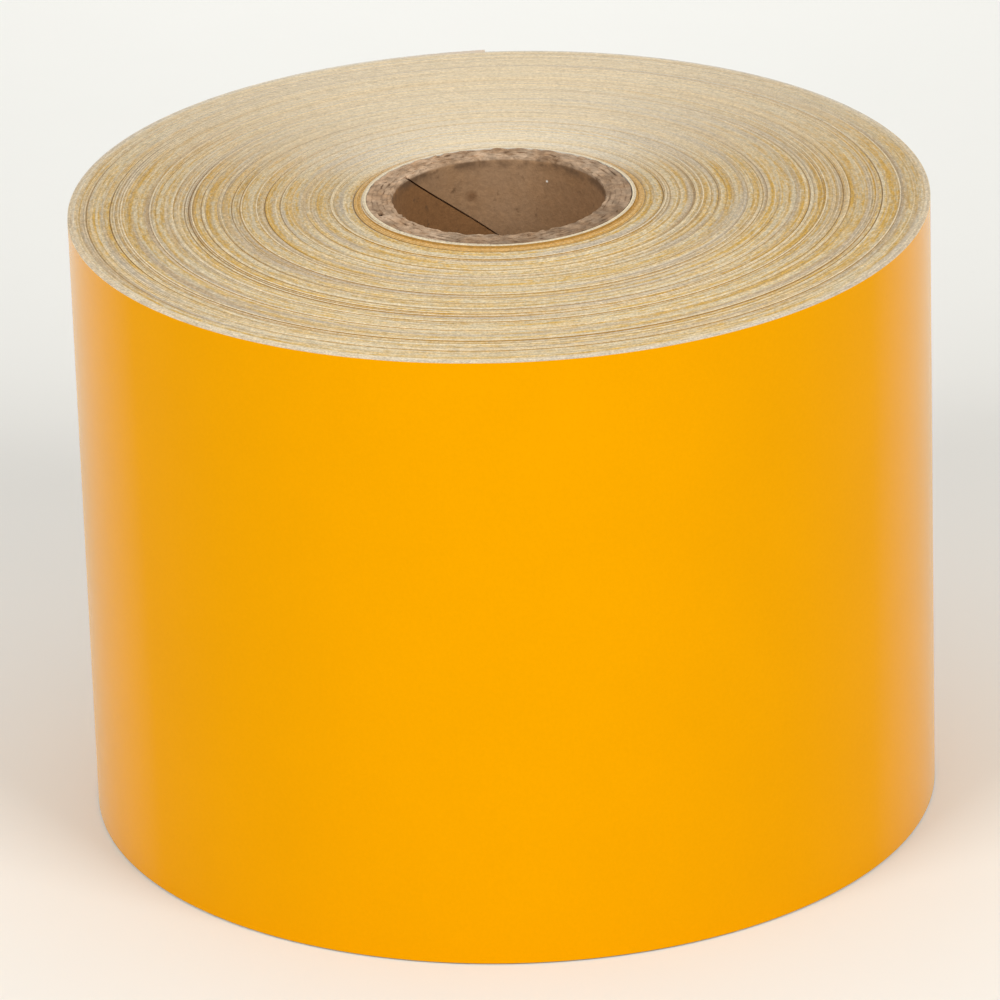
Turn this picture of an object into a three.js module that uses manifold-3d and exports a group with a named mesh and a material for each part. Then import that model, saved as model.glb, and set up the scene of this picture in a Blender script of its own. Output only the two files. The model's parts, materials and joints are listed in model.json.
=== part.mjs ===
// Roll of sign vinyl: a web of self-adhesive vinyl film on a paper release liner, wound face out
// on a spiral-wound cardboard core. Millimetres and degrees, +Z up along the roll's axis, origin
// at the centre of the bottom end. Seen from above, the web winds outward clockwise.
import * as THREE from 'three';
import { mergeVertices } from 'three/addons/utils/BufferGeometryUtils.js';
import Module from 'manifold-3d';

// Web
const WEB_WIDTH = 76.2; // slit width, 3 in
const ROLL_RADIUS = 51.5; // outer face of the film at the tail's end
const FILM_THICKNESS = 0.09; // vinyl and its adhesive
const LINER_THICKNESS = 0.065;
const WRAP_GAP = 0.005; // between a film and a liner wound against each other

// Core
const BORE_RADIUS = 12.7; // 1 in core
const PLY_COUNT = 5;
const PLY_THICKNESS = 0.61;
const GLUE_GAP = 0.02; // glue line between plies, and on each side of the start tape
const PLY_PITCH = 62.5; // rise of a ply's strip in one turn
const PLY_SEAM = 0.7; // open butt seam, measured along the axis
const BORE_SEAM_ANGLE = 146.5; // where the bore ply's seam meets the top end
const SEAM_STAGGER = 137; // turn from each ply's seam to the next ply's
const CORE_SHIFT = 0.4; // core and first turn, slid up out of the web's edges

// Start of the web
const TAPE_THICKNESS = 0.08;
const TAPE_LENGTH = 13;

// Free tail of the web
const TAIL_END_ANGLE = 91.25;
const TAIL_FACETS = 3; // facets in one length of the tail
const TAIL_SEGMENTS = 6;
const LAST_SEGMENT_LENGTHS = 3; // the last segment holds three lengths: one stuck, two that peel
const END_GAP = 0.1; // between the ends of neighbouring lengths of web

// Faceting
const WEB_FACETS = 96;
const CORE_FACETS = 48;
const WEB_FACET = 360 / WEB_FACETS;
const CORE_FACET = 360 / CORE_FACETS;

// Derived sizes
const CORE_TOP = WEB_WIDTH + CORE_SHIFT;
const WEB_PITCH = FILM_THICKNESS + LINER_THICKNESS + 2 * WRAP_GAP;
const PLY_PITCH_OUT = PLY_THICKNESS + GLUE_GAP;
const CORE_RADIUS = BORE_RADIUS + PLY_COUNT * PLY_PITCH_OUT - GLUE_GAP;
const TAPE_RADIUS = CORE_RADIUS + GLUE_GAP;
const START_RADIUS = TAPE_RADIUS + TAPE_THICKNESS + GLUE_GAP;
const WEB_TURNS = (ROLL_RADIUS + WRAP_GAP - START_RADIUS) / WEB_PITCH - 1;
const WEB_START_ANGLE = TAIL_END_ANGLE + 360 * (WEB_TURNS % 1);
const LENGTH_ANGLE = TAIL_FACETS * WEB_FACET;
const TAIL_LENGTHS = TAIL_SEGMENTS - 1 + LAST_SEGMENT_LENGTHS;
const TAIL_ANGLE = TAIL_LENGTHS * LENGTH_ANGLE;
const END_HALF_GAP = THREE.MathUtils.radToDeg(END_GAP / 2 / ROLL_RADIUS);
const START_HALF_GAP = THREE.MathUtils.radToDeg(END_GAP / 2 / START_RADIUS);

const wasm = await Module();
wasm.setup();

const filmMaterial = new THREE.MeshStandardMaterial({ color: 0xfba602, roughness: 0.4, metalness: 0 });
const linerMaterial = new THREE.MeshStandardMaterial({ color: 0xe8e0cf, roughness: 0.6, metalness: 0 });
const woundMaterial = new THREE.MeshStandardMaterial({ color: 0xd8bf92, roughness: 0.75, metalness: 0 });
const coreMaterial = new THREE.MeshStandardMaterial({ color: 0xa37d5d, roughness: 0.9, metalness: 0 });
const tapeMaterial = new THREE.MeshStandardMaterial({ color: 0xf2efe6, roughness: 0.6, metalness: 0 });

const roll = new THREE.Group();

/** Adds one named piece to the roll. */
function addPiece(name, geometry, material) {
  const mesh = new THREE.Mesh(geometry, material);
  mesh.name = name;
  roll.add(mesh);
}

/** The point at an angle and radius about the roll's axis. */
function onCircle(angle, radius) {
  const turn = THREE.MathUtils.degToRad(angle);
  return new THREE.Vector2(radius * Math.cos(turn), radius * Math.sin(turn));
}

/** Angles from one end to the other, with every facet line counted from `phase` between them. */
function facetAngles(from, to, facet, phase) {
  const angles = [from];
  let line = phase + Math.ceil((from - phase) / facet + 1e-6) * facet;
  while (line < to - 1e-6) {
    angles.push(line);
    line += facet;
  }
  angles.push(to);
  return angles;
}

/** A strip bent round the axis through the given angles, between two radii and two heights. */
function woundStrip({ angles, inner, outer, bottom, top }) {
  const steps = angles.length - 1;
  const geometry = new THREE.BoxGeometry(1, 1, 1, 1, steps, 1);
  const position = geometry.getAttribute('position');
  for (let i = 0; i < position.count; i += 1) {
    const angle = angles[Math.round((position.getY(i) + 0.5) * steps)];
    const radius = position.getX(i) < 0 ? inner(angle) : outer(angle);
    const height = position.getZ(i) < 0 ? bottom(angle) : top(angle);
    const place = onCircle(angle, radius);
    position.setXYZ(i, place.x, place.y, height);
  }
  geometry.deleteAttribute('normal');
  geometry.deleteAttribute('uv');
  return mergeVertices(geometry, 1e-6);
}

/** A closed geometry as a manifold solid. */
function toSolid(geometry) {
  const vertProperties = new Float32Array(geometry.getAttribute('position').array);
  const triVerts = new Uint32Array(geometry.getIndex().array);
  return new wasm.Manifold(new wasm.Mesh({ numProp: 3, vertProperties, triVerts }));
}

/** A manifold solid as a three.js geometry. */
function toGeometry(solid) {
  const mesh = solid.getMesh();
  const geometry = new THREE.BufferGeometry();
  geometry.setAttribute('position', new THREE.BufferAttribute(mesh.vertProperties, 3));
  geometry.setIndex(new THREE.BufferAttribute(mesh.triVerts, 1));
  return geometry;
}

/** The length of core that is left when its ends are cut square. */
function coreCut() {
  const side = 4 * CORE_RADIUS;
  const block = new THREE.BoxGeometry(side, side, WEB_WIDTH);
  block.translate(0, 0, WEB_WIDTH / 2 + CORE_SHIFT);
  block.deleteAttribute('normal');
  block.deleteAttribute('uv');
  return toSolid(mergeVertices(block));
}

/** One paperboard strip wound in a helix with an open butt seam, cut square at both ends. */
function corePly(index) {
  const seamAngle = BORE_SEAM_ANGLE + index * SEAM_STAGGER;
  const seamHeight = (angle) => CORE_TOP + (PLY_PITCH * (angle - seamAngle)) / 360;
  const turns = Math.ceil(WEB_WIDTH / PLY_PITCH) + 1;
  const last = Math.ceil((seamAngle + 360) / CORE_FACET) * CORE_FACET;
  const first = last - turns * 360;
  const radius = BORE_RADIUS + index * PLY_PITCH_OUT;
  const strip = woundStrip({
    angles: facetAngles(first, last, CORE_FACET, 0),
    inner: () => radius,
    outer: () => radius + PLY_THICKNESS,
    bottom: (angle) => seamHeight(angle) - PLY_PITCH + PLY_SEAM / 2,
    top: (angle) => seamHeight(angle) - PLY_SEAM / 2,
  });
  return toGeometry(toSolid(strip).intersect(coreCut()));
}

/** Radius of the film's outer face, at an angle wound back from the tail's end. */
function filmFace(back) {
  return ROLL_RADIUS - (WEB_PITCH * back) / 360;
}

/** Radius of the liner's inner face, at an angle wound on from the web's start. */
function startFace(on) {
  return START_RADIUS + (WEB_PITCH * on) / 360;
}

/** A length of film near the tail, between two angles wound back from the tail's end. */
function filmLength(from, to) {
  return woundStrip({
    angles: tailAngles(from, to),
    inner: (angle) => filmFace(angle - TAIL_END_ANGLE) - FILM_THICKNESS,
    outer: (angle) => filmFace(angle - TAIL_END_ANGLE),
    bottom: () => 0,
    top: () => WEB_WIDTH,
  });
}

/** The length of liner behind that film. */
function linerLength(from, to) {
  const depth = FILM_THICKNESS + WRAP_GAP;
  return woundStrip({
    angles: tailAngles(from, to),
    inner: (angle) => filmFace(angle - TAIL_END_ANGLE) - depth - LINER_THICKNESS,
    outer: (angle) => filmFace(angle - TAIL_END_ANGLE) - depth,
    bottom: () => 0,
    top: () => WEB_WIDTH,
  });
}

/** Facet angles of a length of web, whose ends stand half a gap inside its bounds. */
function tailAngles(from, to) {
  const start = TAIL_END_ANGLE + from + END_HALF_GAP;
  const end = TAIL_END_ANGLE + to - END_HALF_GAP;
  return facetAngles(start, end, WEB_FACET, TAIL_END_ANGLE);
}

/** A layer of the first turn, at a depth outside the liner's inner face. */
function firstTurnLayer(depth, thickness) {
  const start = WEB_START_ANGLE - 360 + START_HALF_GAP;
  const end = WEB_START_ANGLE - START_HALF_GAP;
  return woundStrip({
    angles: facetAngles(start, end, WEB_FACET, WEB_START_ANGLE),
    inner: (angle) => startFace(WEB_START_ANGLE - angle) + depth,
    outer: (angle) => startFace(WEB_START_ANGLE - angle) + depth + thickness,
    bottom: () => CORE_SHIFT,
    top: () => CORE_TOP,
  });
}

/** The tape that holds the start of the liner to the core. */
function startTape() {
  const span = THREE.MathUtils.radToDeg(TAPE_LENGTH / TAPE_RADIUS);
  return woundStrip({
    angles: facetAngles(WEB_START_ANGLE - span, WEB_START_ANGLE, WEB_FACET, WEB_START_ANGLE),
    inner: () => TAPE_RADIUS,
    outer: () => TAPE_RADIUS + TAPE_THICKNESS,
    bottom: () => CORE_SHIFT,
    top: () => CORE_TOP,
  });
}

/** All the turns between the first and the last, wound tight: its outlines are both spirals. */
function woundTurns() {
  const outline = [];
  const hole = [];
  for (let k = 0; k <= WEB_FACETS; k += 1) {
    const turned = k * WEB_FACET;
    outline.push(onCircle(TAIL_END_ANGLE + turned, filmFace(360 + turned)));
    hole.push(onCircle(WEB_START_ANGLE - turned, startFace(360 + turned)));
  }
  const shape = new THREE.Shape(outline);
  shape.holes.push(new THREE.Path(hole));
  return new THREE.ExtrudeGeometry(shape, { depth: WEB_WIDTH, bevelEnabled: false });
}

for (let index = 0; index < PLY_COUNT; index += 1) {
  addPiece(`core_ply_${index + 1}`, corePly(index), coreMaterial);
}
addPiece('start_tape', startTape(), tapeMaterial);
addPiece('first_turn_liner', firstTurnLayer(0, LINER_THICKNESS), linerMaterial);
addPiece('first_turn_film', firstTurnLayer(LINER_THICKNESS + WRAP_GAP, FILM_THICKNESS), filmMaterial);
addPiece('wound_turns', woundTurns(), woundMaterial);
addPiece('last_turn_liner', linerLength(TAIL_ANGLE, 360), linerMaterial);
addPiece('last_turn_film', filmLength(TAIL_ANGLE, 360), filmMaterial);

for (let segment = 1; segment <= TAIL_SEGMENTS; segment += 1) {
  const to = TAIL_ANGLE - (segment - 1) * LENGTH_ANGLE;
  const from = segment === TAIL_SEGMENTS ? 0 : to - LENGTH_ANGLE;
  addPiece(`tail_liner_${segment}`, linerLength(from, to), linerMaterial);
  addPiece(`tail_film_${segment}`, filmLength(to - LENGTH_ANGLE, to), filmMaterial);
}
for (let flap = 1; flap < LAST_SEGMENT_LENGTHS; flap += 1) {
  const to = (LAST_SEGMENT_LENGTHS - flap) * LENGTH_ANGLE;
  addPiece(`film_flap_${flap}`, filmLength(to - LENGTH_ANGLE, to), filmMaterial);
}

export default roll;
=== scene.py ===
"""Roll of sign vinyl: its looks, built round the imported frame.

Metres, +Z up along the roll's axis, origin at the centre of the bottom end. The web is one
strip of vinyl film on a release liner, wound face out, clockwise outward seen from above.
A place along it is given by `back`, the number of turns wound back from the tail's end.
"""
import json
import math

import bpy
import numpy as np
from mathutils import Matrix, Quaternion, Vector


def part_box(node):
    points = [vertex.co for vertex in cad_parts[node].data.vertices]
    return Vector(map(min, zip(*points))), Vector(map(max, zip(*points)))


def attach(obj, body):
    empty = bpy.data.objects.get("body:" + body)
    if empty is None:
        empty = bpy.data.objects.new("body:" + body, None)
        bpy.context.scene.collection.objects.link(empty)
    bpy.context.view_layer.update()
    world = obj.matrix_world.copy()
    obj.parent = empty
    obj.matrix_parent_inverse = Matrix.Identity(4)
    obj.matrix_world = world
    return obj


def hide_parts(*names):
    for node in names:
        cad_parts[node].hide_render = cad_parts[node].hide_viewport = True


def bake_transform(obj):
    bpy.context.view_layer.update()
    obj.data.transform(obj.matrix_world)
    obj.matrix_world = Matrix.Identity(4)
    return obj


bl_info = {
    "name": "Sign Vinyl Roll",
    "version": (1, 0, 0),
    "blender": (4, 5, 0),
    "location": "View3D > Sidebar > Vinyl Roll",
    "description": "Builds a roll of sign vinyl with its core, wound web and free tail",
    "category": "Object",
}

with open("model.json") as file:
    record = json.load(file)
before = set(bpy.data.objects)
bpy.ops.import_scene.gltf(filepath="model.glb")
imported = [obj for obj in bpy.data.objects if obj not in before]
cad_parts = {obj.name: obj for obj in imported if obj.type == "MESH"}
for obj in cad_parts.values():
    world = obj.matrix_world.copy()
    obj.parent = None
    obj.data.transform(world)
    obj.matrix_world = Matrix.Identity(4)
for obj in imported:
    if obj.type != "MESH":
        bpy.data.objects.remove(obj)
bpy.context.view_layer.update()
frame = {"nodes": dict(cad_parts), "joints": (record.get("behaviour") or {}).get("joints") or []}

MM = 0.001
TURN = 2 * math.pi

# Faces of a length of web, and of the wound turns, in the order of their material slots
FACE_OUT, FACE_IN, FACE_EDGE = 0, 1, 2
FACE_RINGS, FACE_LINER_STEP, FACE_FILM_STEP, FACE_FILM = 0, 1, 2, 3

# The web
END_GAP = 0.1 * MM  # between neighbouring lengths
WEB_ROWS = 5  # of points from its lower edge to its upper one

# The web, in turns along it
WEB_STEP = 1 / 360  # between points
FIRST_TURNS, INNER_TURNS = 2.3, 7.9  # next to the core, slid up with it
LIFTED_TURNS = 5  # outer turns whose lower edges stand clear of the floor; the next five come down to it
NICK_PLACE, NICK_WIDTH, NICK_TURNS = 0.253, 0.005, 3  # how far round from the tail's end, and how deep in
LAST_TURN_START = 1 - 1e-5  # just short of the place where the wound turns stop
LAST_TURN_MARGIN = 0.004  # from the last turn's end to the first hinge
WOUND_COLUMNS = 150  # of points in each of the wound turns

TAIL_LENGTHS = range(1, 7)

# The core's paperboard
PLY_COLUMNS = 240  # of points in a turn
BORE_ROWS, PLY_ROWS = 22, 6  # of points from a strip's lower edge to its upper one
THINNEST = 0.05 * MM  # a strip that is narrower is left out
TORN_DEPTH, TORN_LENGTH = 0.13 * MM, 0.7 * MM
CROWN = 0.12 * MM
DENT, DENT_HEIGHT = 0.02 * MM, 3 * MM
LIP_WEAR, LIP_HEIGHT = 0.2 * MM, 0.5 * MM

# Blots on the bore: degrees round it, height up it, radius, colour and strength
KNOT = (104.8, 71.9 * MM, 1.0 * MM, (0.16, 0.075, 0.03), 0.65)
SPECK = (62.5, 73.9 * MM, 0.2 * MM, (0.9, 0.87, 0.8), 1.0)

# Colours laid over those in the panel
VINYL_GLOSS, VINYL_SHEEN = (1, 0.25, 0, 1), (1, 0.9, 0.2, 1)
# CREAM_AND_HIGHLIGHT: the liner's cream where it shows at a step, and a painted highlight on turns that stand
# proud
# SHADED_FILM_GOLD: the film's orange face where it shows at a step, painted dark gold as painted shade in the
# narrow step
CREAM_AND_HIGHLIGHT, SHADED_FILM_GOLD = (0.80, 0.67, 0.46), (0.50, 0.285, 0.065)
# Painted shade on the cut edges of turns sunk below their neighbours, and in fine dark lines
SUNK_EDGE_SHADE = (0.36, 0.235, 0.11)
RIM_EDGE = (0.76, 0.70, 0.59)
# Painted sheen: the back of the roll's end paler and greyer
BACK_SHEEN = (0.66, 0.65, 0.62)
# Painted sheen at the back of the roll's end, next to the core
SHEEN_NEAR_CORE = (0.80, 0.78, 0.73)
CORE_GOLD = (0.68, 0.39, 0.10)
FIRST_EDGE = (0.71, 0.62, 0.46)
# Painted shade in the groove at the foot of the raised inner turns
GROOVE_SHADE = (0.24, 0.15, 0.07)
PALE_BOARD, BROWN_BOARD = (0.40, 0.255, 0.15), (0.30, 0.15, 0.06)
PALE_BOARD_END = (0.49, 0.36, 0.25)
LIP_SHADOW = (0.17, 0.10, 0.055)
PLY_PIT = (0.13, 0.075, 0.04)
FLECK = (0.16, 0.09, 0.045)

# Where the pieces are, worked out from the frame


def node_points(node):
    """The corners of a CAD node, as an array of points."""
    vertices = frame["nodes"][node].data.vertices
    return np.array([v.co for v in vertices], float).reshape(-1, 3)


def reach(node):
    """The largest distance of a CAD node from the roll's axis."""
    return float(np.hypot(*node_points(node)[:, :2].T).max())


def inner_reach(node):
    """The smallest distance of a CAD node's corners from the roll's axis."""
    return float(np.hypot(*node_points(node)[:, :2].T).min())


def angle_of(point):
    """The angle of a point about the roll's axis, from 0 to a full turn."""
    return math.atan2(point[1], point[0]) % TURN


WEB_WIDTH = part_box("wound_turns")[1].z
ROLL_RADIUS = reach("film_flap_2")
TAIL_ANGLE = min(angle_of(p) for p in node_points("film_flap_2"))
BORE_RADIUS = inner_reach("core_ply_1")
CORE_RADIUS = reach("core_ply_5")
CORE_LOW, CORE_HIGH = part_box("core_ply_1")[0].z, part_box("core_ply_1")[1].z
CORE_RISE = CORE_HIGH - WEB_WIDTH
START_RADIUS = inner_reach("first_turn_liner")
TAPE_RADIUS = inner_reach("start_tape")
TAPE_OUTER = reach("start_tape")
PLIES = [f"core_ply_{number}" for number in range(1, 6)]
HINGES = {joint["name"]: joint for joint in frame["joints"]}

# The studio, in metres and degrees; each light has its place, its aim, its size and its power
FLOOR_HALF = 6.0
SURROUND, SURROUND_STRENGTH = (1.0, 0.99, 0.97, 1), 0.42
WARM = (1, 0.99, 0.965)
MIDDLE = (0, 0, WEB_WIDTH / 2)
LIGHTS = {
    "left_softbox": ((-0.9, -0.95, 0.95), MIDDLE, 0.7, 10.5),
    "right_softbox": ((0.9, -0.95, 0.95), MIDDLE, 0.7, 11.5),
    "backdrop_light": ((0, 0.37, 0.16), (0, 0.37, 0), 0.2, 0.09),
    "overhead_softbox": ((0, 0.2, 1.2), MIDDLE, 1.0, 2.8),
}
LENS, SENSOR = 282.3, 36
CAMERA_DISTANCE = 950.1 * MM
CAMERA_ELEVATION, CAMERA_ROLL = 23.27, -1.8
CAMERA_AIM = (-1.0 * MM, 0, 37.1 * MM)


def hinge_back(name):
    """The place along the web of one of its hinges."""
    return ((angle_of(HINGES[name]["pos_m"]) - TAIL_ANGLE) % TURN) / TURN


# Sizes and colours that a user would change


class VinylRollSizes(bpy.types.PropertyGroup):
    """Sizes of the roll's web, core and tail"""

    film: bpy.props.FloatProperty(
        name="Film", description="Thickness of the vinyl with its adhesive",
        default=0.09 * MM, min=0.02 * MM, precision=5, subtype="DISTANCE", unit="LENGTH")
    liner: bpy.props.FloatProperty(
        name="Liner", description="Thickness of the release liner",
        default=0.065 * MM, min=0.02 * MM, precision=5, subtype="DISTANCE", unit="LENGTH")
    wrap_gap: bpy.props.FloatProperty(
        name="Wrap Gap", description="Space between a film and a liner wound against each other",
        default=0.005 * MM, min=0.0, precision=6, subtype="DISTANCE", unit="LENGTH")
    drift: bpy.props.FloatProperty(
        name="Winding Drift", description="How far groups of turns stand proud or sunk at the ends",
        default=0.10 * MM, min=0.0, precision=5, subtype="DISTANCE", unit="LENGTH")
    spike: bpy.props.FloatProperty(
        name="Proud Turns", description="How far the odd single turn stands proud or sunk",
        default=0.16 * MM, min=0.0, precision=5, subtype="DISTANCE", unit="LENGTH")
    tail_spring: bpy.props.FloatProperty(
        name="Tail Spring", description="How far the tail's end stands off the roll",
        default=0.5 * MM, min=0.0, precision=5, subtype="DISTANCE", unit="LENGTH")
    spring_length: bpy.props.FloatProperty(
        name="Spring Length", description="Length of the tail that stands off the roll",
        default=15 * MM, min=1 * MM, precision=4, subtype="DISTANCE", unit="LENGTH")
    ledge: bpy.props.FloatProperty(
        name="Liner Ledge", description="How far the liner's edge stands above the film's",
        default=0.036 * MM, min=0.0, precision=5, subtype="DISTANCE", unit="LENGTH")
    first_rise: bpy.props.FloatProperty(
        name="First Turns' Rise", description="How far the first turns stand above the core's end",
        default=0.05 * MM, min=0.0, precision=5, subtype="DISTANCE", unit="LENGTH")
    inner_rise: bpy.props.FloatProperty(
        name="Inner Turns' Rise", description="How far the turns next to those stand above the rest",
        default=0.1 * MM, min=0.0, precision=5, subtype="DISTANCE", unit="LENGTH")
    nick: bpy.props.FloatProperty(
        name="Nick", description="Depth of the nick in the outer turns' edges",
        default=0.3 * MM, min=0.0, precision=5, subtype="DISTANCE", unit="LENGTH")
    outer_lift: bpy.props.FloatProperty(
        name="Outer Turns' Lift", description="How far the outer turns' lower edges stand off the floor",
        default=0.18 * MM, min=0.0, precision=5, subtype="DISTANCE", unit="LENGTH")
    ply_pitch: bpy.props.FloatProperty(
        name="Ply Pitch", description="Rise of a core strip in one turn",
        default=62.5 * MM, min=10 * MM, precision=4, subtype="DISTANCE", unit="LENGTH")
    ply_seam: bpy.props.FloatProperty(
        name="Ply Seam", description="Open butt seam between the turns of a core strip",
        default=0.26 * MM, min=0.1 * MM, precision=5, subtype="DISTANCE", unit="LENGTH")
    seam_angle: bpy.props.FloatProperty(
        name="Seam Angle", description="Where the bore ply's seam meets the top end",
        default=math.radians(146.5), subtype="ANGLE", unit="ROTATION")
    seam_stagger: bpy.props.FloatProperty(
        name="Seam Stagger", description="Turn from one ply's seam to the next",
        default=math.radians(137), subtype="ANGLE", unit="ROTATION")


class VinylRollColours(bpy.types.PropertyGroup):
    """Colours of the roll's film, liner and paperboard, and of the floor"""

    film: bpy.props.FloatVectorProperty(
        name="Film", description="Face of the vinyl", size=3, min=0, max=1,
        default=(0.84, 0.355, 0.0), subtype="COLOR")
    liner: bpy.props.FloatVectorProperty(
        name="Liner", description="Release liner", size=3, min=0, max=1,
        default=(0.80, 0.765, 0.67), subtype="COLOR")
    gold_edge: bpy.props.FloatVectorProperty(
        name="Gold Edge", description="Cut edge of the film in the roll's ends", size=3, min=0, max=1,
        default=(0.63, 0.385, 0.085), subtype="COLOR")
    pale_edge: bpy.props.FloatVectorProperty(
        name="Pale Edge", description="Cut edge of the liner in the roll's ends", size=3, min=0, max=1,
        default=(0.66, 0.56, 0.375), subtype="COLOR")
    # Painted shade: greyer groups of turns, standing for liner edges that stand proud in shade
    grey_edge_shade: bpy.props.FloatVectorProperty(
        name="Grey Edge", description="Groups of turns where the liner's edge is polished", size=3,
        min=0, max=1, default=(0.46, 0.39, 0.32), subtype="COLOR")
    board: bpy.props.FloatVectorProperty(
        name="Board", description="Face of the core's paperboard", size=3, min=0, max=1,
        default=(0.385, 0.228, 0.118), subtype="COLOR")
    board_end: bpy.props.FloatVectorProperty(
        name="Board End", description="Cut ends of the core's paperboard", size=3, min=0, max=1,
        default=(0.325, 0.20, 0.114), subtype="COLOR")
    studio: bpy.props.FloatVectorProperty(
        name="Studio", description="Floor of the studio", size=3, min=0, max=1,
        default=(0.852, 0.856, 0.832), subtype="COLOR")


def sizes():
    """The sizes in the scene's panel."""
    return bpy.context.scene.vinyl_roll_sizes


def colours():
    """The colours in the scene's panel."""
    return bpy.context.scene.vinyl_roll_colours


# The web as a spiral


def web_pitch():
    """How much each turn of the web adds to the roll's radius."""
    return sizes().film + sizes().liner + 2 * sizes().wrap_gap


def film_face(back):
    """Radius of the film's outer face at a place along the web."""
    return ROLL_RADIUS - web_pitch() * back


def web_turns():
    """How many turns the web makes from its start on the core to the tail's end."""
    return (ROLL_RADIUS + sizes().wrap_gap - START_RADIUS) / web_pitch() - 1


def ring_points(angles, radii, heights):
    """Points about the roll's axis, in one array."""
    angles, radii, heights = np.broadcast_arrays(angles, radii, heights)
    return np.stack([radii * np.cos(angles), radii * np.sin(angles), heights], -1)


def web_points(back, radii, heights):
    """Points at places along the web."""
    return ring_points(TAIL_ANGLE + TURN * np.asarray(back), radii, heights)


def smooth_noise(place, seed, cells=509):
    """Smooth random values from -1 to 1 along a line, with a new one at each whole number."""
    table = np.random.default_rng(seed).uniform(-1, 1, cells)
    cell = np.floor(place).astype(int)
    part = place - cell
    part = part * part * (3 - 2 * part)
    return table[cell % cells] * (1 - part) + table[(cell + 1) % cells] * part


def wander(back):
    """How far the web drifts up or down as it is wound."""
    slow = smooth_noise(back / 21, seed=11)
    group = smooth_noise(back / 4.3, seed=12)
    line = smooth_noise(back * 2.1, seed=13) + smooth_noise((back + 1) * 2.1, seed=13)
    odd = smooth_noise(back * 0.83, seed=14)
    proud = np.clip(odd - 0.7, 0, 1) - np.clip(-odd - 0.7, 0, 1)
    return sizes().drift * (0.5 * slow + 0.4 * group + 0.3 * line) + sizes().spike * proud / 0.3


def web_lift(back):
    """How far the web's edge stands above or below the plane of the roll's end."""
    back = np.asarray(back, float)
    inside = web_turns() - back
    first = np.clip((FIRST_TURNS - inside) / 0.2, 0, 1)
    inner = np.clip((INNER_TURNS - inside) / 0.5, 0, 1) * (1 - first)
    nick = np.exp(-(((back % 1 - NICK_PLACE) / NICK_WIDTH) ** 2)) * np.clip(NICK_TURNS - back, 0, 1)
    level = (CORE_RISE + sizes().first_rise) * first + sizes().inner_rise * inner - sizes().nick * nick
    return level + wander(back) * (1 - 0.7 * first) * (1 - 0.5 * inner)


def web_bottom(back):
    """Height of the web's lower edge, which never goes below the floor."""
    outer = sizes().outer_lift * np.clip(2 - np.asarray(back, float) / LIFTED_TURNS, 0, 1)
    return np.clip(web_lift(back), outer, None)


def proudness(back):
    """How far a turn stands above its neighbours, in web thicknesses."""
    back = np.asarray(back, float)
    around = sum(wander(back + turns) for turns in (-3, -2, -1, 1, 2, 3)) / 6
    return (wander(back) - around) / web_pitch()


def tail_spring(back):
    """How far the tail's end springs away from the roll."""
    from_end = np.asarray(back, float) * TURN * ROLL_RADIUS
    return sizes().tail_spring * np.clip(1 - from_end / sizes().spring_length, 0, 1) ** 2


# Mesh work


def store_value(piece, name, values):
    """Keeps a value with each point of a piece, for its materials to read."""
    kept = piece.data.attributes.new(name, "FLOAT", "POINT")
    kept.data.foreach_set("value", np.asarray(values, np.float32))


def finish_piece(name, points, faces, kinds, materials, crease=35):
    """A new closed piece with its materials, shaded smooth except over sharp edges."""
    mesh = bpy.data.meshes.new(name)
    mesh.from_pydata(points.reshape(-1, 3).tolist(), [], faces)
    for material in materials:
        mesh.materials.append(material)
    mesh.polygons.foreach_set("material_index", np.asarray(kinds, np.int32))
    mesh.update()
    piece = bpy.data.objects.new(name, mesh)
    bpy.context.scene.collection.objects.link(piece)
    if signed_volume(mesh) < 0:
        mesh.flip_normals()
    mesh.shade_smooth()
    mesh.set_sharp_from_angle(angle=math.radians(crease))
    return piece


def signed_volume(mesh):
    """Six times the volume inside a closed mesh, negative if its faces point in."""
    mesh.calc_loop_triangles()
    corners = np.zeros(len(mesh.loop_triangles) * 3, np.int32)
    mesh.loop_triangles.foreach_get("vertices", corners)
    places = np.zeros(len(mesh.vertices) * 3, np.float32)
    mesh.vertices.foreach_get("co", places)
    a, b, c = places.reshape(-1, 3).astype(float)[corners.reshape(-1, 3)].transpose(1, 0, 2)
    return float(np.einsum("ij,ij->i", a, np.cross(b, c)).sum())


def loft(name, loops, kinds, end_kind, materials, crease=35):
    """A closed piece through a row of loops, with a material for each side of the loop."""
    rows, size, _ = loops.shape
    faces, worn = [], []
    for row in range(rows - 1):
        for side in range(size):
            after = (side + 1) % size
            low, high = row * size, (row + 1) * size
            faces.append((low + side, low + after, high + after, high + side))
            worn.append(kinds[side])
    faces.append(tuple(range(size))[::-1])
    faces.append(tuple(range((rows - 1) * size, rows * size)))
    return finish_piece(name, loops, faces, worn + [end_kind] * 2, materials, crease)


def web_length(name, from_back, to_back, depth, thickness, materials):
    """A length of film or liner at a depth under the film's face."""
    columns = max(2, round((from_back - to_back) / WEB_STEP) + 1)
    back = np.linspace(from_back, to_back, columns)[:, None]
    outer = film_face(back) - depth + tail_spring(back)
    top = WEB_WIDTH + web_lift(back)
    bottom = web_bottom(back)
    share = np.linspace(0, 1, WEB_ROWS)[None, :]
    heights = bottom + (top - bottom) * share
    out_face = web_points(back, outer, heights)
    in_face = web_points(back, outer - thickness, heights)[:, ::-1]
    loops = np.concatenate([out_face, in_face], axis=1)
    sides = WEB_ROWS - 1
    kinds = [FACE_OUT] * sides + [FACE_EDGE] + [FACE_IN] * sides + [FACE_EDGE]
    return loft(name, loops, kinds, FACE_EDGE, materials)


# Shader work


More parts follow.
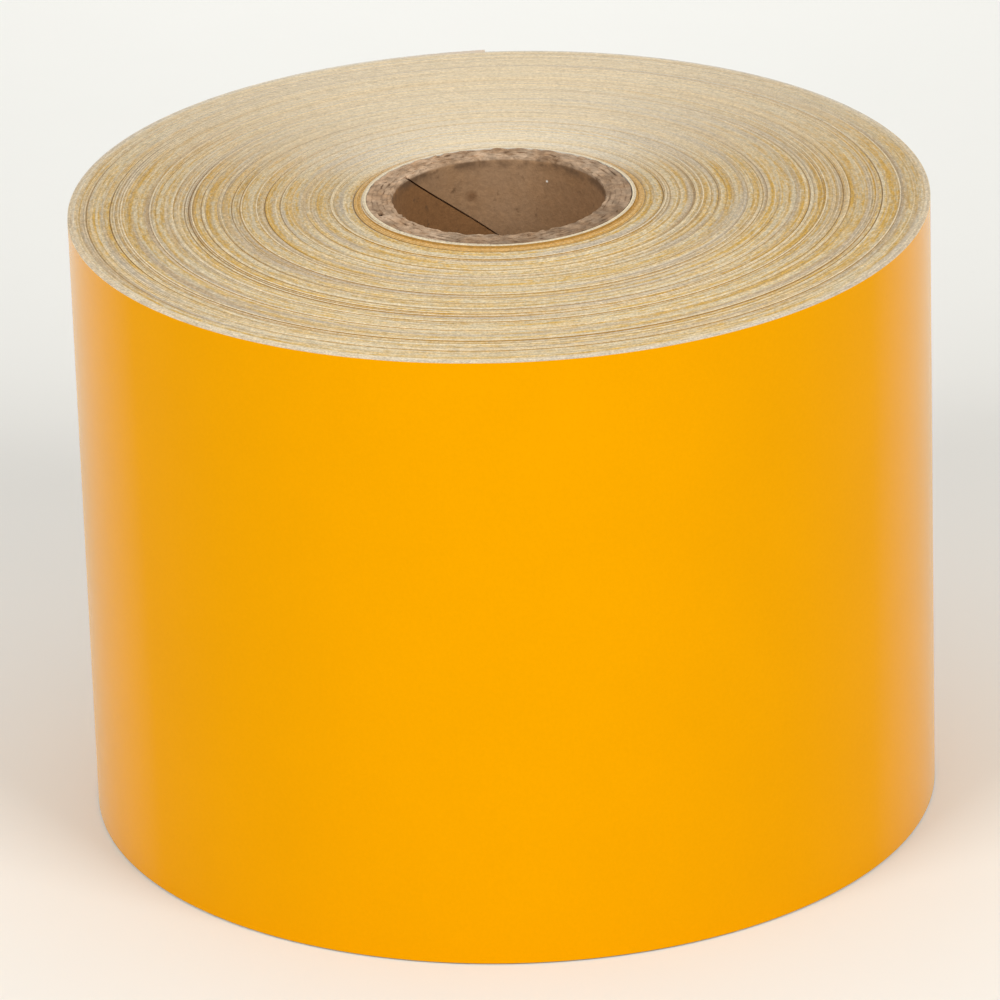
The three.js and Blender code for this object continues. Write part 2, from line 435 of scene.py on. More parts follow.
def new_shader(name):
    """A material with one Principled shader, and that shader."""
    material = bpy.data.materials.new(name)
    material.use_nodes = True
    tree = material.node_tree
    tree.nodes.clear()
    shader = tree.nodes.new("ShaderNodeBsdfPrincipled")
    output = tree.nodes.new("ShaderNodeOutputMaterial")
    tree.links.new(shader.outputs["BSDF"], output.inputs["Surface"])
    return material, tree, shader


def put(tree, socket, value):
    """Sets an input to a number or a colour, or links it to another node's output."""
    if isinstance(value, bpy.types.NodeSocket):
        tree.links.new(value, socket)
    elif socket.type == "RGBA":
        socket.default_value = (*value, 1)
    else:
        socket.default_value = value


def calc(tree, operation, *values):
    """The output of a maths node."""
    node = tree.nodes.new("ShaderNodeMath")
    node.operation = operation
    for socket, value in zip(node.inputs, values):
        put(tree, socket, value)
    return node.outputs[0]


def noise(tree, vector, scale, detail=2.0, roughness=0.5):
    """The value of a noise texture over a vector."""
    node = tree.nodes.new("ShaderNodeTexNoise")
    put(tree, node.inputs["Vector"], vector)
    node.inputs["Scale"].default_value = scale
    node.inputs["Detail"].default_value = detail
    node.inputs["Roughness"].default_value = roughness
    return node.outputs["Fac"]


def line_noise(tree, place, scale, detail=2.0, roughness=0.5):
    """The value of a noise texture along a line."""
    node = tree.nodes.new("ShaderNodeTexNoise")
    node.noise_dimensions = "1D"
    put(tree, node.inputs["W"], place)
    node.inputs["Scale"].default_value = scale
    node.inputs["Detail"].default_value = detail
    node.inputs["Roughness"].default_value = roughness
    return node.outputs["Fac"]


def remap(tree, value, low, high, to_low=0.0, to_high=1.0):
    """A value stretched from one range to another, and held inside it."""
    node = tree.nodes.new("ShaderNodeMapRange")
    for socket, number in zip(node.inputs, (value, low, high, to_low, to_high)):
        put(tree, socket, number)
    return node.outputs["Result"]


def mix_colour(tree, share, a, b, blend="MIX"):
    """A mix of two colours."""
    node = tree.nodes.new("ShaderNodeMix")
    node.data_type = "RGBA"
    node.blend_type = blend
    put(tree, node.inputs["Factor"], share)
    put(tree, node.inputs[6], a)
    put(tree, node.inputs[7], b)
    return node.outputs[2]


def shaded(tree, colour, shade):
    """A colour made lighter or darker by a value."""
    return mix_colour(tree, 1.0, colour, combine(tree, shade, shade, shade), "MULTIPLY")


def coat(tree, colour, *coats):
    """A colour with others laid over it in turn, each by its own share."""
    for share, over in coats:
        colour = mix_colour(tree, share, colour, over)
    return colour


def stored(tree, name):
    """A value kept with each point of a piece."""
    node = tree.nodes.new("ShaderNodeAttribute")
    node.attribute_name = name
    return node.outputs["Fac"]


def axes(tree, vector):
    """The three values of a vector."""
    node = tree.nodes.new("ShaderNodeSeparateXYZ")
    put(tree, node.inputs[0], vector)
    return node.outputs


def total(tree, *values):
    """The sum of several values."""
    result = values[0]
    for value in values[1:]:
        result = calc(tree, "ADD", result, value)
    return result


def product(tree, *values):
    """Several values multiplied together."""
    result = values[0]
    for value in values[1:]:
        result = calc(tree, "MULTIPLY", result, value)
    return result


def object_place(tree):
    """The place of the shaded point in the piece, in metres."""
    return tree.nodes.new("ShaderNodeTexCoord").outputs["Object"]


def combine(tree, x=0.0, y=0.0, z=0.0):
    """A vector from three values."""
    node = tree.nodes.new("ShaderNodeCombineXYZ")
    for socket, value in zip(node.inputs, (x, y, z)):
        put(tree, socket, value)
    return node.outputs[0]


def bump(tree, shader, height, distance, strength=1.0):
    """Roughens a shader's surface by a height."""
    node = tree.nodes.new("ShaderNodeBump")
    node.inputs["Strength"].default_value = strength
    node.inputs["Distance"].default_value = distance
    put(tree, node.inputs["Height"], height)
    put(tree, shader.inputs["Normal"], node.outputs["Normal"])


def vector_calc(tree, operation, *values, output="Vector"):
    """An output of a vector maths node."""
    node = tree.nodes.new("ShaderNodeVectorMath")
    node.operation = operation
    for socket, value in zip(node.inputs, values):
        put(tree, socket, value)
    return node.outputs[output]


def web_place(tree):
    """Where the shaded point lies: its heading from the axis, layers in from the outside,
    turns back along the web, and depth in its own layer from 0 to 1."""
    place = object_place(tree)
    flat = vector_calc(tree, "MULTIPLY", place, (1, 1, 0))
    heading = vector_calc(tree, "NORMALIZE", flat)
    out = vector_calc(tree, "LENGTH", flat, output="Value")
    x, y, _ = axes(tree, place)
    angle = calc(tree, "SUBTRACT", calc(tree, "ARCTAN2", y, x), TAIL_ANGLE)
    turns = calc(tree, "FRACT", calc(tree, "ADD", calc(tree, "DIVIDE", angle, TURN), 1.0))
    layers = calc(tree, "DIVIDE", calc(tree, "SUBTRACT", ROLL_RADIUS, out), web_pitch())
    wound = calc(tree, "SUBTRACT", layers, turns)
    depth = calc(tree, "FRACT", calc(tree, "ADD", wound, 2.0))
    back = calc(tree, "SUBTRACT", layers, depth)
    return heading, layers, back, depth


def ring_noise(tree, heading, across, around_scale, across_scale, detail=2.0, roughness=0.5):
    """Noise that runs in rings: around_scale features to a radian, across_scale to a layer."""
    around = vector_calc(tree, "SCALE", heading)
    around.node.inputs["Scale"].default_value = around_scale
    up = combine(tree, 0.0, 0.0, calc(tree, "MULTIPLY", across, across_scale))
    return noise(tree, vector_calc(tree, "ADD", around, up), 1.0, detail, roughness)


def film_material():
    """Satin vinyl: strong colour, a faint orange peel, and gloss that comes up at a slant."""
    material, tree, shader = new_shader("satin_vinyl")
    place = object_place(tree)
    mottle = noise(tree, place, 90, 3)
    grain = noise(tree, place, 2600, 2)
    shade = product(tree, remap(tree, mottle, 0.3, 0.7, 0.99, 1.01),
                    remap(tree, grain, 0.25, 0.75, 0.985, 1.015))
    put(tree, shader.inputs["Base Color"], shaded(tree, colours().film, shade))
    shader.inputs["Roughness"].default_value = 0.18
    facing = tree.nodes.new("ShaderNodeLayerWeight")
    facing.inputs["Blend"].default_value = 0.5
    gloss = remap(tree, facing.outputs["Facing"], 0.53, 0.84, 0.03, 0.43)
    put(tree, shader.inputs["Specular IOR Level"], gloss)
    shader.inputs["Specular Tint"].default_value = VINYL_GLOSS
    shader.inputs["Sheen Weight"].default_value = 0.1
    shader.inputs["Sheen Roughness"].default_value = 0.4
    shader.inputs["Sheen Tint"].default_value = VINYL_SHEEN
    peel = calc(tree, "ADD", noise(tree, place, 900, 1), calc(tree, "MULTIPLY", grain, 0.4))
    bump(tree, shader, peel, 0.006 * MM, 0.3)
    return material


def adhesive_material():
    """The film's back under its clear adhesive: the same colour, paler and glossier."""
    material, tree, shader = new_shader("clear_adhesive_on_film")
    streak = noise(tree, object_place(tree), 400, 3)
    back = tuple(0.8 * c + 0.14 for c in colours().film)
    shade = remap(tree, streak, 0.3, 0.7, 0.93, 1.03)
    put(tree, shader.inputs["Base Color"], shaded(tree, back, shade))
    put(tree, shader.inputs["Roughness"], remap(tree, streak, 0.3, 0.7, 0.18, 0.32))
    bump(tree, shader, streak, 0.02 * MM, 0.4)
    return material


def liner_material(name, gloss):
    """Release liner: bleached paper, smooth with silicone on one side."""
    material, tree, shader = new_shader(name)
    place = object_place(tree)
    fibre = noise(tree, place, 1500, 4, 0.65)
    cloud = noise(tree, place, 160, 2)
    shade = product(tree, remap(tree, fibre, 0.3, 0.7, 0.96, 1.02), remap(tree, cloud, 0.3, 0.7, 0.97, 1.02))
    put(tree, shader.inputs["Base Color"], shaded(tree, colours().liner, shade))
    put(tree, shader.inputs["Roughness"], remap(tree, fibre, 0.3, 0.7, gloss, gloss + 0.12))
    bump(tree, shader, fibre, 0.01 * MM, 0.4)
    return material


def step_material(name, colour):
    """A face of one turn that stands clear of the next in the roll's ends."""
    material, tree, shader = new_shader(name)
    grain = noise(tree, object_place(tree), 2400, 2)
    put(tree, shader.inputs["Base Color"], shaded(tree, colour, remap(tree, grain, 0.3, 0.7, 0.85, 1.1)))
    shader.inputs["Roughness"].default_value = 0.6
    shader.inputs["Specular IOR Level"].default_value = 0.3
    return material


def edge_gold(tree, heading, layers, back, depth, dash):
    """How golden the cut edges are: more in the film, and more at the sides and less at the back,
    as painted light with a painted sheen at the back.
    """
    film_share = sizes().film / web_pitch()
    is_film = remap(tree, depth, film_share - 0.05, film_share + 0.05, 1.0, 0.0)
    band = line_noise(tree, back, 0.17, 2, 0.6)
    single = line_noise(tree, back, 1.3, 2, 0.6)
    patch = ring_noise(tree, heading, back, 1.6, 0.21, 3, 0.6)
    streak = ring_noise(tree, heading, layers, 7, 0.45, 2, 0.6)
    x, y, _ = axes(tree, heading)
    return total(
        tree, 0.26, calc(tree, "MULTIPLY", is_film, 0.16),
        remap(tree, band, 0.3, 0.7, -0.3, 0.34), remap(tree, single, 0.3, 0.7, -0.14, 0.14),
        remap(tree, patch, 0.3, 0.7, -0.4, 0.44), remap(tree, streak, 0.3, 0.7, -0.38, 0.38),
        remap(tree, dash, 0.3, 0.7, -0.42, 0.42),
        # Painted light: more golden at the roll's left and right sides, less at the back under a painted
        # sheen
        remap(tree, calc(tree, "POWER", x, 2.0), 0.0, 1.0, -0.02, 0.16), remap(tree, y, 0.2, 0.9, 0.0, -0.34))


def edge_colour(tree, heading, layers, back, gold):
    """The cut edges' colour, each zone of the roll's end laid over the ones before it, among them
    painted highlights, painted shade and a painted sheen.
    """
    proud = stored(tree, "proud")
    grey = ring_noise(tree, heading, back, 0.9, 0.13, 2, 0.5)
    fine = line_noise(tree, back, 2.1, 1)
    inside = calc(tree, "SUBTRACT", web_turns(), back)
    behind = axes(tree, heading)["Y"]
    # polished is a painted sheen at the back, next to the core
    polished = product(tree, remap(tree, behind, 0.4, 1.0, 0.0, 0.6), remap(tree, back, 110.0, 190.0))
    # Painted shade at the foot of the raised inner turns
    groove_shade = product(tree, remap(tree, inside, INNER_TURNS + 1.1, INNER_TURNS + 1.0),
                     remap(tree, inside, INNER_TURNS, INNER_TURNS + 0.1), 0.6)
    return coat(
        tree, colours().pale_edge,
        (remap(tree, gold, 0.0, 1.0), colours().gold_edge),
        # Painted shade in random greyer groups of turns
        (remap(tree, grey, 0.5, 0.64, 0.0, 0.65), colours().grey_edge_shade),
        # Painted highlight on turns that stand proud, painted shade on turns that are sunk
        (remap(tree, proud, 0.08, 0.6, 0.0, 0.75), CREAM_AND_HIGHLIGHT),
        (remap(tree, proud, -0.08, -0.6, 0.0, 0.6), SUNK_EDGE_SHADE),
        (remap(tree, layers, 9.0, 4.0, 0.0, 0.55), RIM_EDGE),
        # Painted sheen over the back of the roll's end
        (remap(tree, behind, 0.3, 0.95, 0.0, 0.62), BACK_SHEEN),
        (polished, SHEEN_NEAR_CORE),
        # Fine random lines of painted highlight and painted shade
        (remap(tree, fine, 0.60, 0.68, 0.0, 0.55), CREAM_AND_HIGHLIGHT),
        (remap(tree, fine, 0.34, 0.27, 0.0, 0.4), SUNK_EDGE_SHADE),
        (remap(tree, inside, INNER_TURNS + 0.1, INNER_TURNS, 0.0, 0.75), CORE_GOLD),
        (remap(tree, inside, FIRST_TURNS + 0.1, FIRST_TURNS, 0.0, 0.9), FIRST_EDGE),
        (groove_shade, GROOVE_SHADE))


def edge_material():
    """The web's cut edges in the roll's ends: film and liner in fine rings, a little furred
    by the knife, with paler, golder and greyer groups of turns, painted highlights and painted shade
    on turns that stand proud or sunk, a painted sheen at the back and painted shade at the sides."""
    material, tree, shader = new_shader("cut_web_edges")
    heading, layers, back, depth = web_place(tree)
    dash = ring_noise(tree, heading, layers, 34, 0.5, 2, 0.6)
    grain = noise(tree, object_place(tree), 3600, 2, 0.6)
    gold = edge_gold(tree, heading, layers, back, depth, dash)
    colour = edge_colour(tree, heading, layers, back, gold)
    side = calc(tree, "POWER", axes(tree, heading)["X"], 2.0)
    shade = product(tree, remap(tree, grain, 0.25, 0.75, 0.70, 1.26),
                    remap(tree, ring_noise(tree, heading, layers, 40, 0.6, 2), 0.3, 0.7, 0.86, 1.14),
                    # Painted shade: the edges a little darker towards the roll's left and right sides
                    remap(tree, side, 0.2, 1.0, 0.97, 0.90))
    put(tree, shader.inputs["Base Color"], shaded(tree, colour, shade))
    shader.inputs["Roughness"].default_value = 0.7
    shader.inputs["Specular IOR Level"].default_value = 0.25
    bump(tree, shader, calc(tree, "ADD", dash, grain), 0.04 * MM, 0.5)
    return material


def board_face(tree, place, cloud, height):
    """The face of the core's board: clouded, browner in places, and dark under the bore's lip."""
    lip = remap(tree, height, CORE_HIGH - 1.6 * MM, CORE_HIGH - 0.7 * MM, 0.0, 0.85)
    return coat(
        tree, colours().board,
        (remap(tree, cloud, 0.35, 0.65, 0.0, 0.5), PALE_BOARD),
        (stored(tree, "tone"), BROWN_BOARD),
        (product(tree, remap(tree, noise(tree, place, 240, 3, 0.65), 0.42, 0.58), lip), LIP_SHADOW))


def board_end(tree, place, cloud, x, y):
    """The cut end of the core's board: fuzzy, and paler towards the back and the left."""
    colour = mix_colour(tree, remap(tree, cloud, 0.35, 0.65, 0.0, 0.8), colours().board_end, PALE_BOARD_END)
    fuzz = remap(tree, noise(tree, place, 700, 3, 0.65), 0.38, 0.62, 0.74, 1.2)
    # worn only makes the cut end paler towards the back and the left, and darker towards the front and the
    # right
    worn = remap(tree, calc(tree, "SUBTRACT", y, x), -22 * MM, 22 * MM, 0.86, 1.26)
    return shaded(tree, colour, product(tree, fuzz, worn))


def ply_pits(tree, place, x, y):
    """Where the joints between plies have torn open."""
    out = calc(tree, "SQRT", calc(tree, "ADD", calc(tree, "POWER", x, 2.0), calc(tree, "POWER", y, 2.0)))
    wall = (CORE_RADIUS - BORE_RADIUS) / len(PLIES)
    ply = calc(tree, "DIVIDE", calc(tree, "SUBTRACT", out, BORE_RADIUS), wall)
    joint = calc(tree, "ABSOLUTE", calc(tree, "SUBTRACT", calc(tree, "FRACT", ply), 0.5))
    torn = remap(tree, noise(tree, place, 260, 3, 0.65), 0.52, 0.66)
    return product(tree, remap(tree, joint, 0.25, 0.45), torn)


def board_material():
    """Grey-brown chipboard: short fibres, flecks and torn pits, darker between the plies."""
    material, tree, shader = new_shader("core_chipboard")
    place = object_place(tree)
    x, y, height = axes(tree, place)
    cloud = noise(tree, place, 210, 3, 0.65)
    fibre = noise(tree, place, 1500, 4, 0.7)
    flecks = noise(tree, place, 620, 3, 0.6)
    at_end = remap(tree, height, CORE_HIGH - 0.35 * MM, CORE_HIGH - 0.15 * MM)
    colour = coat(
        tree, board_face(tree, place, cloud, height),
        (at_end, board_end(tree, place, cloud, x, y)),
        (product(tree, ply_pits(tree, place, x, y), at_end, 0.7), PLY_PIT),
        (remap(tree, flecks, 0.62, 0.72, 0.0, 0.7), FLECK),
        blot(tree, place, *KNOT),
        blot(tree, place, *SPECK))
    put(tree, shader.inputs["Base Color"], shaded(tree, colour, remap(tree, fibre, 0.25, 0.75, 0.80, 1.16)))
    shader.inputs["Roughness"].default_value = 0.92
    shader.inputs["Specular IOR Level"].default_value = 0.2
    bump(tree, shader, calc(tree, "ADD", fibre, flecks), 0.14 * MM, 0.7)
    return material


def blot(tree, place, degrees, height, radius, colour, strength):
    """A ragged blot on the bore, as a share and its colour."""
    angle = math.radians(degrees)
    centre = (BORE_RADIUS * math.cos(angle), BORE_RADIUS * math.sin(angle), height)
    away = vector_calc(tree, "DISTANCE", place, centre, output="Value")
    ragged = remap(tree, noise(tree, place, 900), 0.3, 0.7, 0.7 * radius, 1.1 * radius)
    return remap(tree, away, ragged, 0.3 * radius, 0.0, strength), colour


def floor_material():
    """Matt white studio paper."""
    material, tree, shader = new_shader("studio_paper")
    grain = noise(tree, object_place(tree), 60, 3)
    shade = remap(tree, grain, 0.3, 0.7, 0.997, 1.003)
    put(tree, shader.inputs["Base Color"], shaded(tree, colours().studio, shade))
    shader.inputs["Roughness"].default_value = 0.9
    shader.inputs["Specular IOR Level"].default_value = 0.1
    return material


MAKERS = {
    "satin_vinyl": film_material,
    "clear_adhesive_on_film": adhesive_material,
    "liner_release_side": lambda: liner_material("liner_release_side", 0.3),
    "liner_back": lambda: liner_material("liner_back", 0.6),
    "start_tape_paper": lambda: liner_material("start_tape_paper", 0.7),
    "cut_web_edges": edge_material,
    "core_chipboard": board_material,
    "liner_face_at_a_step": lambda: step_material("liner_face_at_a_step", CREAM_AND_HIGHLIGHT),
    # The film's face at a step: painted shade darkens it from orange to dark gold
    "film_face_at_a_step_in_shade": lambda: step_material("film_face_at_a_step_in_shade", SHADED_FILM_GOLD),
    "studio_paper": floor_material,
}


def finish_of(name):
    """One of the roll's finishes, made the first time it is asked for."""
    return bpy.data.materials.get(name) or MAKERS[name]()


def film_finishes():
    """The finishes of a length of film: its face, its back and its cut edges."""
    return [finish_of(n) for n in ("satin_vinyl", "clear_adhesive_on_film", "cut_web_edges")]


def liner_finishes(edge="cut_web_edges"):
    """The finishes of a length of liner: its release side, its back and its cut edges."""
    return [finish_of(n) for n in ("liner_release_side", "liner_back", edge)]


def liner_depth():
    """How far the liner's outer face lies under the film's."""
    return sizes().film + sizes().wrap_gap


def wear(piece, body, slot, *nodes):
    """Hangs a piece on its body, in place of its CAD nodes."""
    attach(piece, body)
    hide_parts(*nodes)


# The core


def seam_of(number):
    """The angle at which a ply's seam meets the top end."""
    return sizes().seam_angle + number * sizes().seam_stagger


def ply_edges(number, outer):
    """Angles along one strip, and the heights of its lower and upper edges there."""
    pitch, gap = sizes().ply_pitch, sizes().ply_seam
    turns = math.ceil(WEB_WIDTH / pitch) + 1
    wound = TURN - np.arange(turns * PLY_COLUMNS + 1)[::-1] * TURN / PLY_COLUMNS
    angles = seam_of(number) + wound
    top = WEB_WIDTH + pitch * wound / TURN - gap / 2
    bottom = top + gap - pitch
    torn = TORN_DEPTH * smooth_noise(angles * outer / TORN_LENGTH, seed=31 + number)
    low = np.clip(bottom, CORE_LOW + 0.3 * np.abs(torn), CORE_HIGH)
    high = np.clip(top, CORE_LOW, CORE_HIGH + torn)
    keep = high - low > THINNEST
    return [values[keep][:, None] for values in (angles, low, high)]


def ply_loops(number, inner, outer):
    """Loops round one strip, with the bore ply's lip a little worn, and their angles."""
    angles, low, high = ply_edges(number, outer)
    in_bore = number == 0
    share = np.linspace(0, 1, BORE_ROWS if in_bore else PLY_ROWS)[None, :]
    heights = low + (high - low) * (1 - (1 - share) ** (3 if in_bore else 1))
    dent = DENT * smooth_noise(angles * 40 + heights / DENT_HEIGHT, seed=41 + number)
    lip = np.clip((heights - CORE_HIGH) / LIP_HEIGHT + 1, 0, 1) ** 2 * in_bore
    worn = LIP_WEAR * lip * (1 + 0.9 * smooth_noise(angles * 26, seed=61))
    inside = ring_points(angles, inner + np.clip(dent, 0, None) + worn, heights)
    outside = ring_points(angles, outer, heights)[:, ::-1]
    crown = CROWN * smooth_noise(angles * 55, seed=51 + number)
    middle_top = ring_points(angles, (inner + outer) / 2, high + crown)
    middle_low = ring_points(angles, (inner + outer) / 2, low)
    return np.concatenate([inside, middle_top, outside, middle_low], axis=1), angles


def bore_tone(angles, seam):
    """How much browner the bore is, below its seam and on its right side."""
    under = np.clip(1 - (angles - seam) / 1.9, 0, 1) * np.clip((angles - seam) / 0.5 + 4, 0, 1)
    right = 0.5 * np.clip(np.cos(angles - 0.1) * 2 - 0.7, 0, 1)
    return np.maximum(under, right)


def core_ply(number):
    """One paperboard strip wound in a helix, its cut ends a little torn."""
    node = PLIES[number]
    loops, angles = ply_loops(number, inner_reach(node), reach(node))
    name = f"board_ply_{number + 1}"
    piece = loft(name, loops, [0] * loops.shape[1], 0, [finish_of("core_chipboard")], crease=50)
    tone = bore_tone(angles, seam_of(number)) * (number == 0)
    store_value(piece, "tone", np.broadcast_to(tone, loops.shape[:2]).ravel())
    wear(piece, "wound_roll", "core_board", node)


class VINYLROLL_OT_core(bpy.types.Operator):
    """Builds the five spiral-wound plies of the core"""

    bl_idname = "vinyl_roll.core"
    bl_label = "Core Plies"

    def execute(self, context):
        for number in range(len(PLIES)):
            core_ply(number)
        return {"FINISHED"}


# The start of the web


class VINYLROLL_OT_start(bpy.types.Operator):
    """Builds the start tape and the first turn of liner and film"""

    bl_idname = "vinyl_roll.start"
    bl_label = "Start of the Web"

    def execute(self, context):
        start = web_turns()
        tape_low, tape_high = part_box("start_tape")
        tape_span = (tape_high - tape_low).to_2d().length / TAPE_RADIUS / TURN
        tape_depth = film_face(start) - TAPE_OUTER
        tape = web_length("start_tape_strip", start, start - tape_span, tape_depth, TAPE_OUTER - TAPE_RADIUS,
                          [finish_of("start_tape_paper")] * 3)
        wear(tape, "wound_roll", "start_tape", "start_tape")
        gap = END_GAP / 2 / START_RADIUS / TURN
        span = (start - gap, start - 1 + gap)
        liner = web_length("first_turn_of_liner", *span, liner_depth(),
                           START_RADIUS + sizes().liner - CORE_RADIUS, liner_finishes("liner_face_at_a_step"))
        wear(liner, "wound_roll", "release_liner", "first_turn_liner")
        film = web_length("first_turn_of_film", *span, 0, sizes().film, film_finishes())
        wear(film, "wound_roll", "vinyl_film", "first_turn_film")
        return {"FINISHED"}


# The wound turns


def strip_faces(row_a, row_b, count, flip=False):
    """Faces between two rows of points, by the number of the first point in each."""
    step = np.arange(count)
    faces = np.stack([row_a + step, row_a + step + 1, row_b + step + 1, row_b + step], -1)
    return (faces[:, ::-1] if flip else faces).tolist()


def wound_faces(count, top, ledge):
    """Faces of the wound turns over their inner, outer and lower rows of points, and their kinds."""
    turn, between = WOUND_COLUMNS, count - WOUND_COLUMNS
    inner, outer, low = 0, count + 1, 2 * (count + 1)
    rise = top[turn:count] + top[turn + 1:] - top[:between] - top[1:between + 1] + 2 * ledge
    steps = np.where(rise > 0, FACE_LINER_STEP, FACE_FILM_STEP).tolist()
    faces = [
        *strip_faces(inner, outer, count),
        *strip_faces(outer, inner + turn, between),
        *strip_faces(low, low + turn, count, flip=True),
        *strip_faces(inner, low, turn, flip=True),
        *strip_faces(outer + between, low + count, turn),
        (inner, outer, inner + turn, low + turn, low),
        (low + count, low + count + turn, outer + count, inner + count, outer + between),
    ]
    kinds = [FACE_RINGS] * count + steps + [FACE_RINGS] * count
    kinds += [FACE_LINER_STEP] * turn + [FACE_FILM] * turn + [FACE_RINGS] * 2
    return faces, kinds


class VINYLROLL_OT_wound(bpy.types.Operator):
    """Builds the tightly wound turns between the first and the last"""

    bl_idname = "vinyl_roll.wound"
    bl_label = "Wound Turns"

    def execute(self, context):
        first, last = web_turns() - 1, 1.0
        count = round((first - last) * WOUND_COLUMNS)
        back = np.linspace(first, last, count + 1)
        low_back = np.concatenate([back[:WOUND_COLUMNS] + 1, back])
        top = WEB_WIDTH + web_lift(back)
        ledge = sizes().ledge
        rows = [
            web_points(back, film_face(back + 1), top + ledge / 2),
            web_points(back, film_face(back), top - ledge / 2),
            web_points(low_back, film_face(low_back), web_bottom(low_back)),
        ]
        faces, kinds = wound_faces(count, top, ledge)
        names = ("cut_web_edges", "liner_face_at_a_step", "film_face_at_a_step_in_shade", "satin_vinyl")
        piece = finish_piece("tightly_wound_turns", np.concatenate(rows), faces, kinds,
                             [finish_of(name) for name in names], crease=40)
        proud = proudness(back)
        # proud drives the painted highlight and painted shade on the cut edges
        store_value(piece, "proud", np.concatenate([proud, proud, proudness(low_back)]))
        wear(piece, "wound_roll", "wound_edges", "wound_turns")
        return {"FINISHED"}


# The last turn and the free tail


def bend(piece, body_a, body_b, from_back, to_back):
    """Works out where a length of web starts and ends, and fixes its shape where it lies."""
    start, end = (web_points(back, film_face(back), WEB_WIDTH / 2) for back in (from_back, to_back))
    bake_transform(piece)


def tail_stops():
    """Where the last turn ends, and where each of the tail's bends ends after it."""
    hinges = [hinge_back(f"unwind_{n}") for n in TAIL_LENGTHS]
    half = (hinges[0] - hinges[1]) / 2
    return [hinges[0] + LAST_TURN_MARGIN] + [place - half for place in hinges]


def tail_layer(layer, slot, depth, thickness, finishes):
    """One layer of the web: its last turn and a length at each hinge of the tail."""
    stops = tail_stops()
    bodies = ["wound_roll"] + [f"tail_{n}" for n in TAIL_LENGTHS]
    turn = web_length(f"last_turn_of_{layer}", LAST_TURN_START, stops[0], depth, thickness, finishes)
    wear(turn, "wound_roll", slot, f"last_turn_{layer}")
    for n in TAIL_LENGTHS:
        span = stops[n - 1], stops[n]
        piece = web_length(f"tail_{layer}_bend_{n}", *span, depth, thickness, finishes)
        bend(piece, bodies[n - 1], bodies[n], *span)
        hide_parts(f"tail_{layer}_{n}")


def tail_end(name, end_back, slot, depth, thickness, finishes):
    """A layer's length beyond the last bend, up to a place near the tail's end."""
    end = web_length(name, tail_stops()[-1], end_back, depth, thickness, finishes)
    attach(end, "tail_6")


def film_flaps(peels):
    """The film past the first peel hinge, in a length to the next hinge and one on to the tail's end."""
    bodies = ["tail_6", "film_flap_1", "film_flap_2"]
    stops = [*peels, 0.0]
    for n in (1, 2):
        span = stops[n - 1], stops[n]
        flap = web_length(f"film_flap_bend_{n}", *span, 0.0, sizes().film, film_finishes())
        bend(flap, bodies[n - 1], bodies[n], *span)
        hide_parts(f"film_flap_{n}")


class VINYLROLL_OT_tail(bpy.types.Operator):
    """Builds the last turn and the free tail, in a length at each hinge"""

    bl_idname = "vinyl_roll.tail"
    bl_label = "Last Turn and Tail"

    def execute(self, context):
        peels = [hinge_back("film_peel_1"), hinge_back("film_peel_2")]
        liner = "release_liner", liner_depth(), sizes().liner, liner_finishes()
        film = "vinyl_film", 0.0, sizes().film, film_finishes()
        tail_layer("liner", *liner)
        tail_layer("film", *film)
        tail_end("liner_at_the_tail_end", 0.0, *liner)
        tail_end("film_stuck_near_the_tail_end", peels[0], *film)
        film_flaps(peels)
        return {"FINISHED"}


# The studio


def area_light(name, place, aim, size, power):
    """A soft square light aimed at a point."""
    light = bpy.data.lights.new(name, "AREA")
    light.size = size
    light.energy = power
    light.color = WARM
    lamp = bpy.data.objects.new(name, light)
    lamp.location = place
    lamp.visible_camera = False
    lamp.rotation_euler = (Vector(aim) - Vector(place)).to_track_quat("-Z", "Y").to_euler()
    bpy.context.scene.collection.objects.link(lamp)


def lay_floor():
    """A wide sheet of studio paper under the roll."""
    corners = [(x * FLOOR_HALF, y * FLOOR_HALF, 0) for x, y in ((-1, -1), (1, -1), (1, 1), (-1, 1))]
    mesh = bpy.data.meshes.new("studio_floor")
    mesh.from_pydata(corners, [], [(0, 1, 2, 3)])
    mesh.materials.append(finish_of("studio_paper"))
    floor = bpy.data.objects.new("studio_floor", mesh)
    bpy.context.scene.collection.objects.link(floor)


def light_room():
    """The surround, the softboxes on the roll and a small light on the floor behind it."""
    world = bpy.data.worlds.new("studio_surround")
    world.use_nodes = True
    bpy.context.scene.world = world
    surround = world.node_tree.nodes["Background"]
    surround.inputs["Color"].default_value = SURROUND
    surround.inputs["Strength"].default_value = SURROUND_STRENGTH
    for name, light in LIGHTS.items():
        area_light(name, *light)


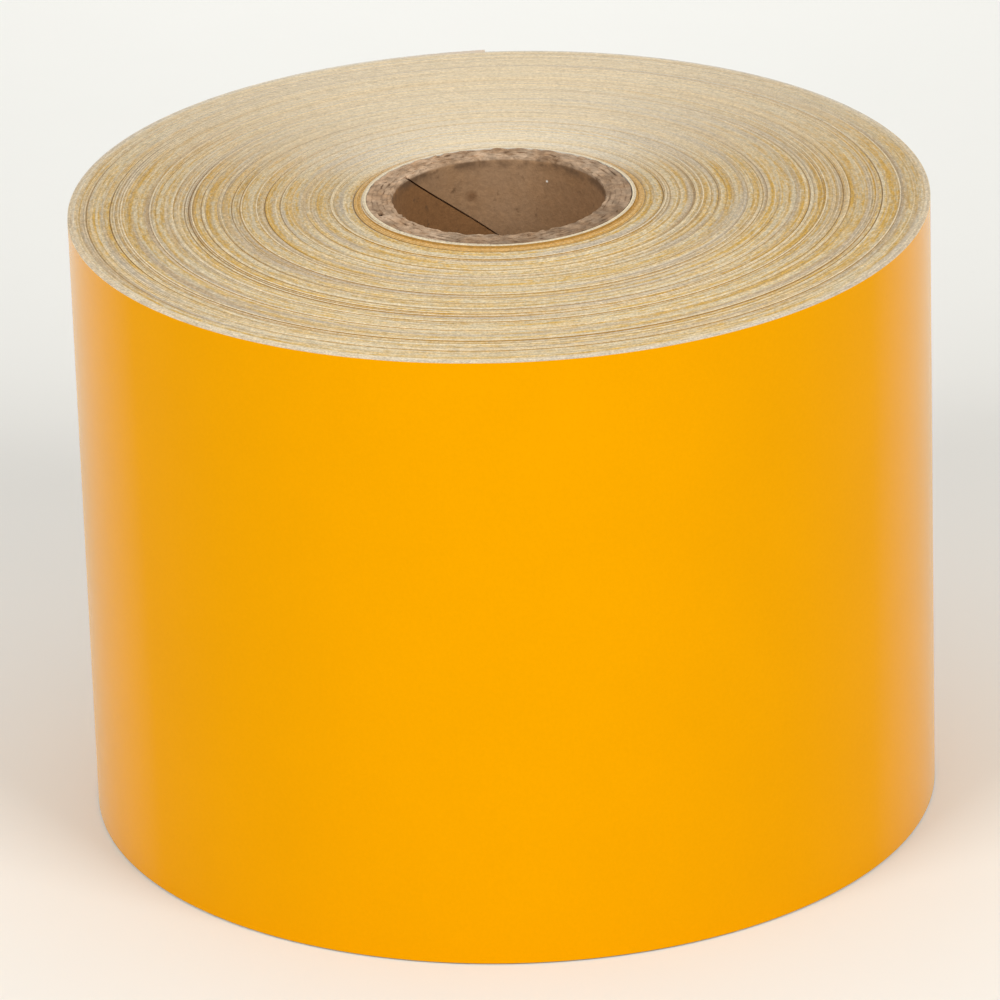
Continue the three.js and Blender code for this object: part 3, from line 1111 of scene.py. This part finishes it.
def place_camera():
    """A long lens in front of the roll, a little above it and tilted a little."""
    camera = bpy.data.objects.new("camera", bpy.data.cameras.new("camera"))
    bpy.context.scene.collection.objects.link(camera)
    camera.data.sensor_width = SENSOR
    camera.data.lens = LENS
    elevation = math.radians(CAMERA_ELEVATION)
    camera.location = (0, -CAMERA_DISTANCE * math.cos(elevation),
                       MIDDLE[2] + CAMERA_DISTANCE * math.sin(elevation))
    look = (Vector(CAMERA_AIM) - camera.location).to_track_quat("-Z", "Y")
    camera.rotation_mode = "QUATERNION"
    camera.rotation_quaternion = look @ Quaternion((0, 0, 1), math.radians(CAMERA_ROLL))
    bpy.context.scene.camera = camera


class VINYLROLL_OT_studio(bpy.types.Operator):
    """Builds the floor, the lights and the camera"""

    bl_idname = "vinyl_roll.studio"
    bl_label = "Studio"

    def execute(self, context):
        lay_floor()
        light_room()
        place_camera()
        context.scene.view_settings.view_transform = "Standard"
        return {"FINISHED"}


class VINYLROLL_PT_panel(bpy.types.Panel):
    """Lists the roll's pieces, sizes and colours"""

    bl_idname = "VINYLROLL_PT_panel"
    bl_label = "Sign Vinyl Roll"
    bl_space_type = "VIEW_3D"
    bl_region_type = "UI"
    bl_category = "Vinyl Roll"

    def draw(self, context):
        layout = self.layout
        for group in (context.scene.vinyl_roll_sizes, context.scene.vinyl_roll_colours):
            column = layout.column(align=True)
            for name in group.__annotations__:
                column.prop(group, name)
        column = layout.column(align=True)
        for operator in OPERATORS:
            column.operator(operator.bl_idname)


OPERATORS = (
    VINYLROLL_OT_studio,
    VINYLROLL_OT_core,
    VINYLROLL_OT_start,
    VINYLROLL_OT_wound,
    VINYLROLL_OT_tail,
)
CLASSES = (VinylRollSizes, VinylRollColours, *OPERATORS, VINYLROLL_PT_panel)


def register():
    """Adds the roll's panel, operators and settings"""
    for cls in CLASSES:
        bpy.utils.register_class(cls)
    bpy.types.Scene.vinyl_roll_sizes = bpy.props.PointerProperty(type=VinylRollSizes)
    bpy.types.Scene.vinyl_roll_colours = bpy.props.PointerProperty(type=VinylRollColours)


def unregister():
    """Takes them away again"""
    del bpy.types.Scene.vinyl_roll_colours
    del bpy.types.Scene.vinyl_roll_sizes
    for cls in reversed(CLASSES):
        bpy.utils.unregister_class(cls)


def main():
    """Builds the studio and the whole roll"""
    register()
    bpy.ops.vinyl_roll.studio()
    bpy.ops.vinyl_roll.core()
    bpy.ops.vinyl_roll.start()
    bpy.ops.vinyl_roll.wound()
    bpy.ops.vinyl_roll.tail()


if __name__ == "__main__":
    main()
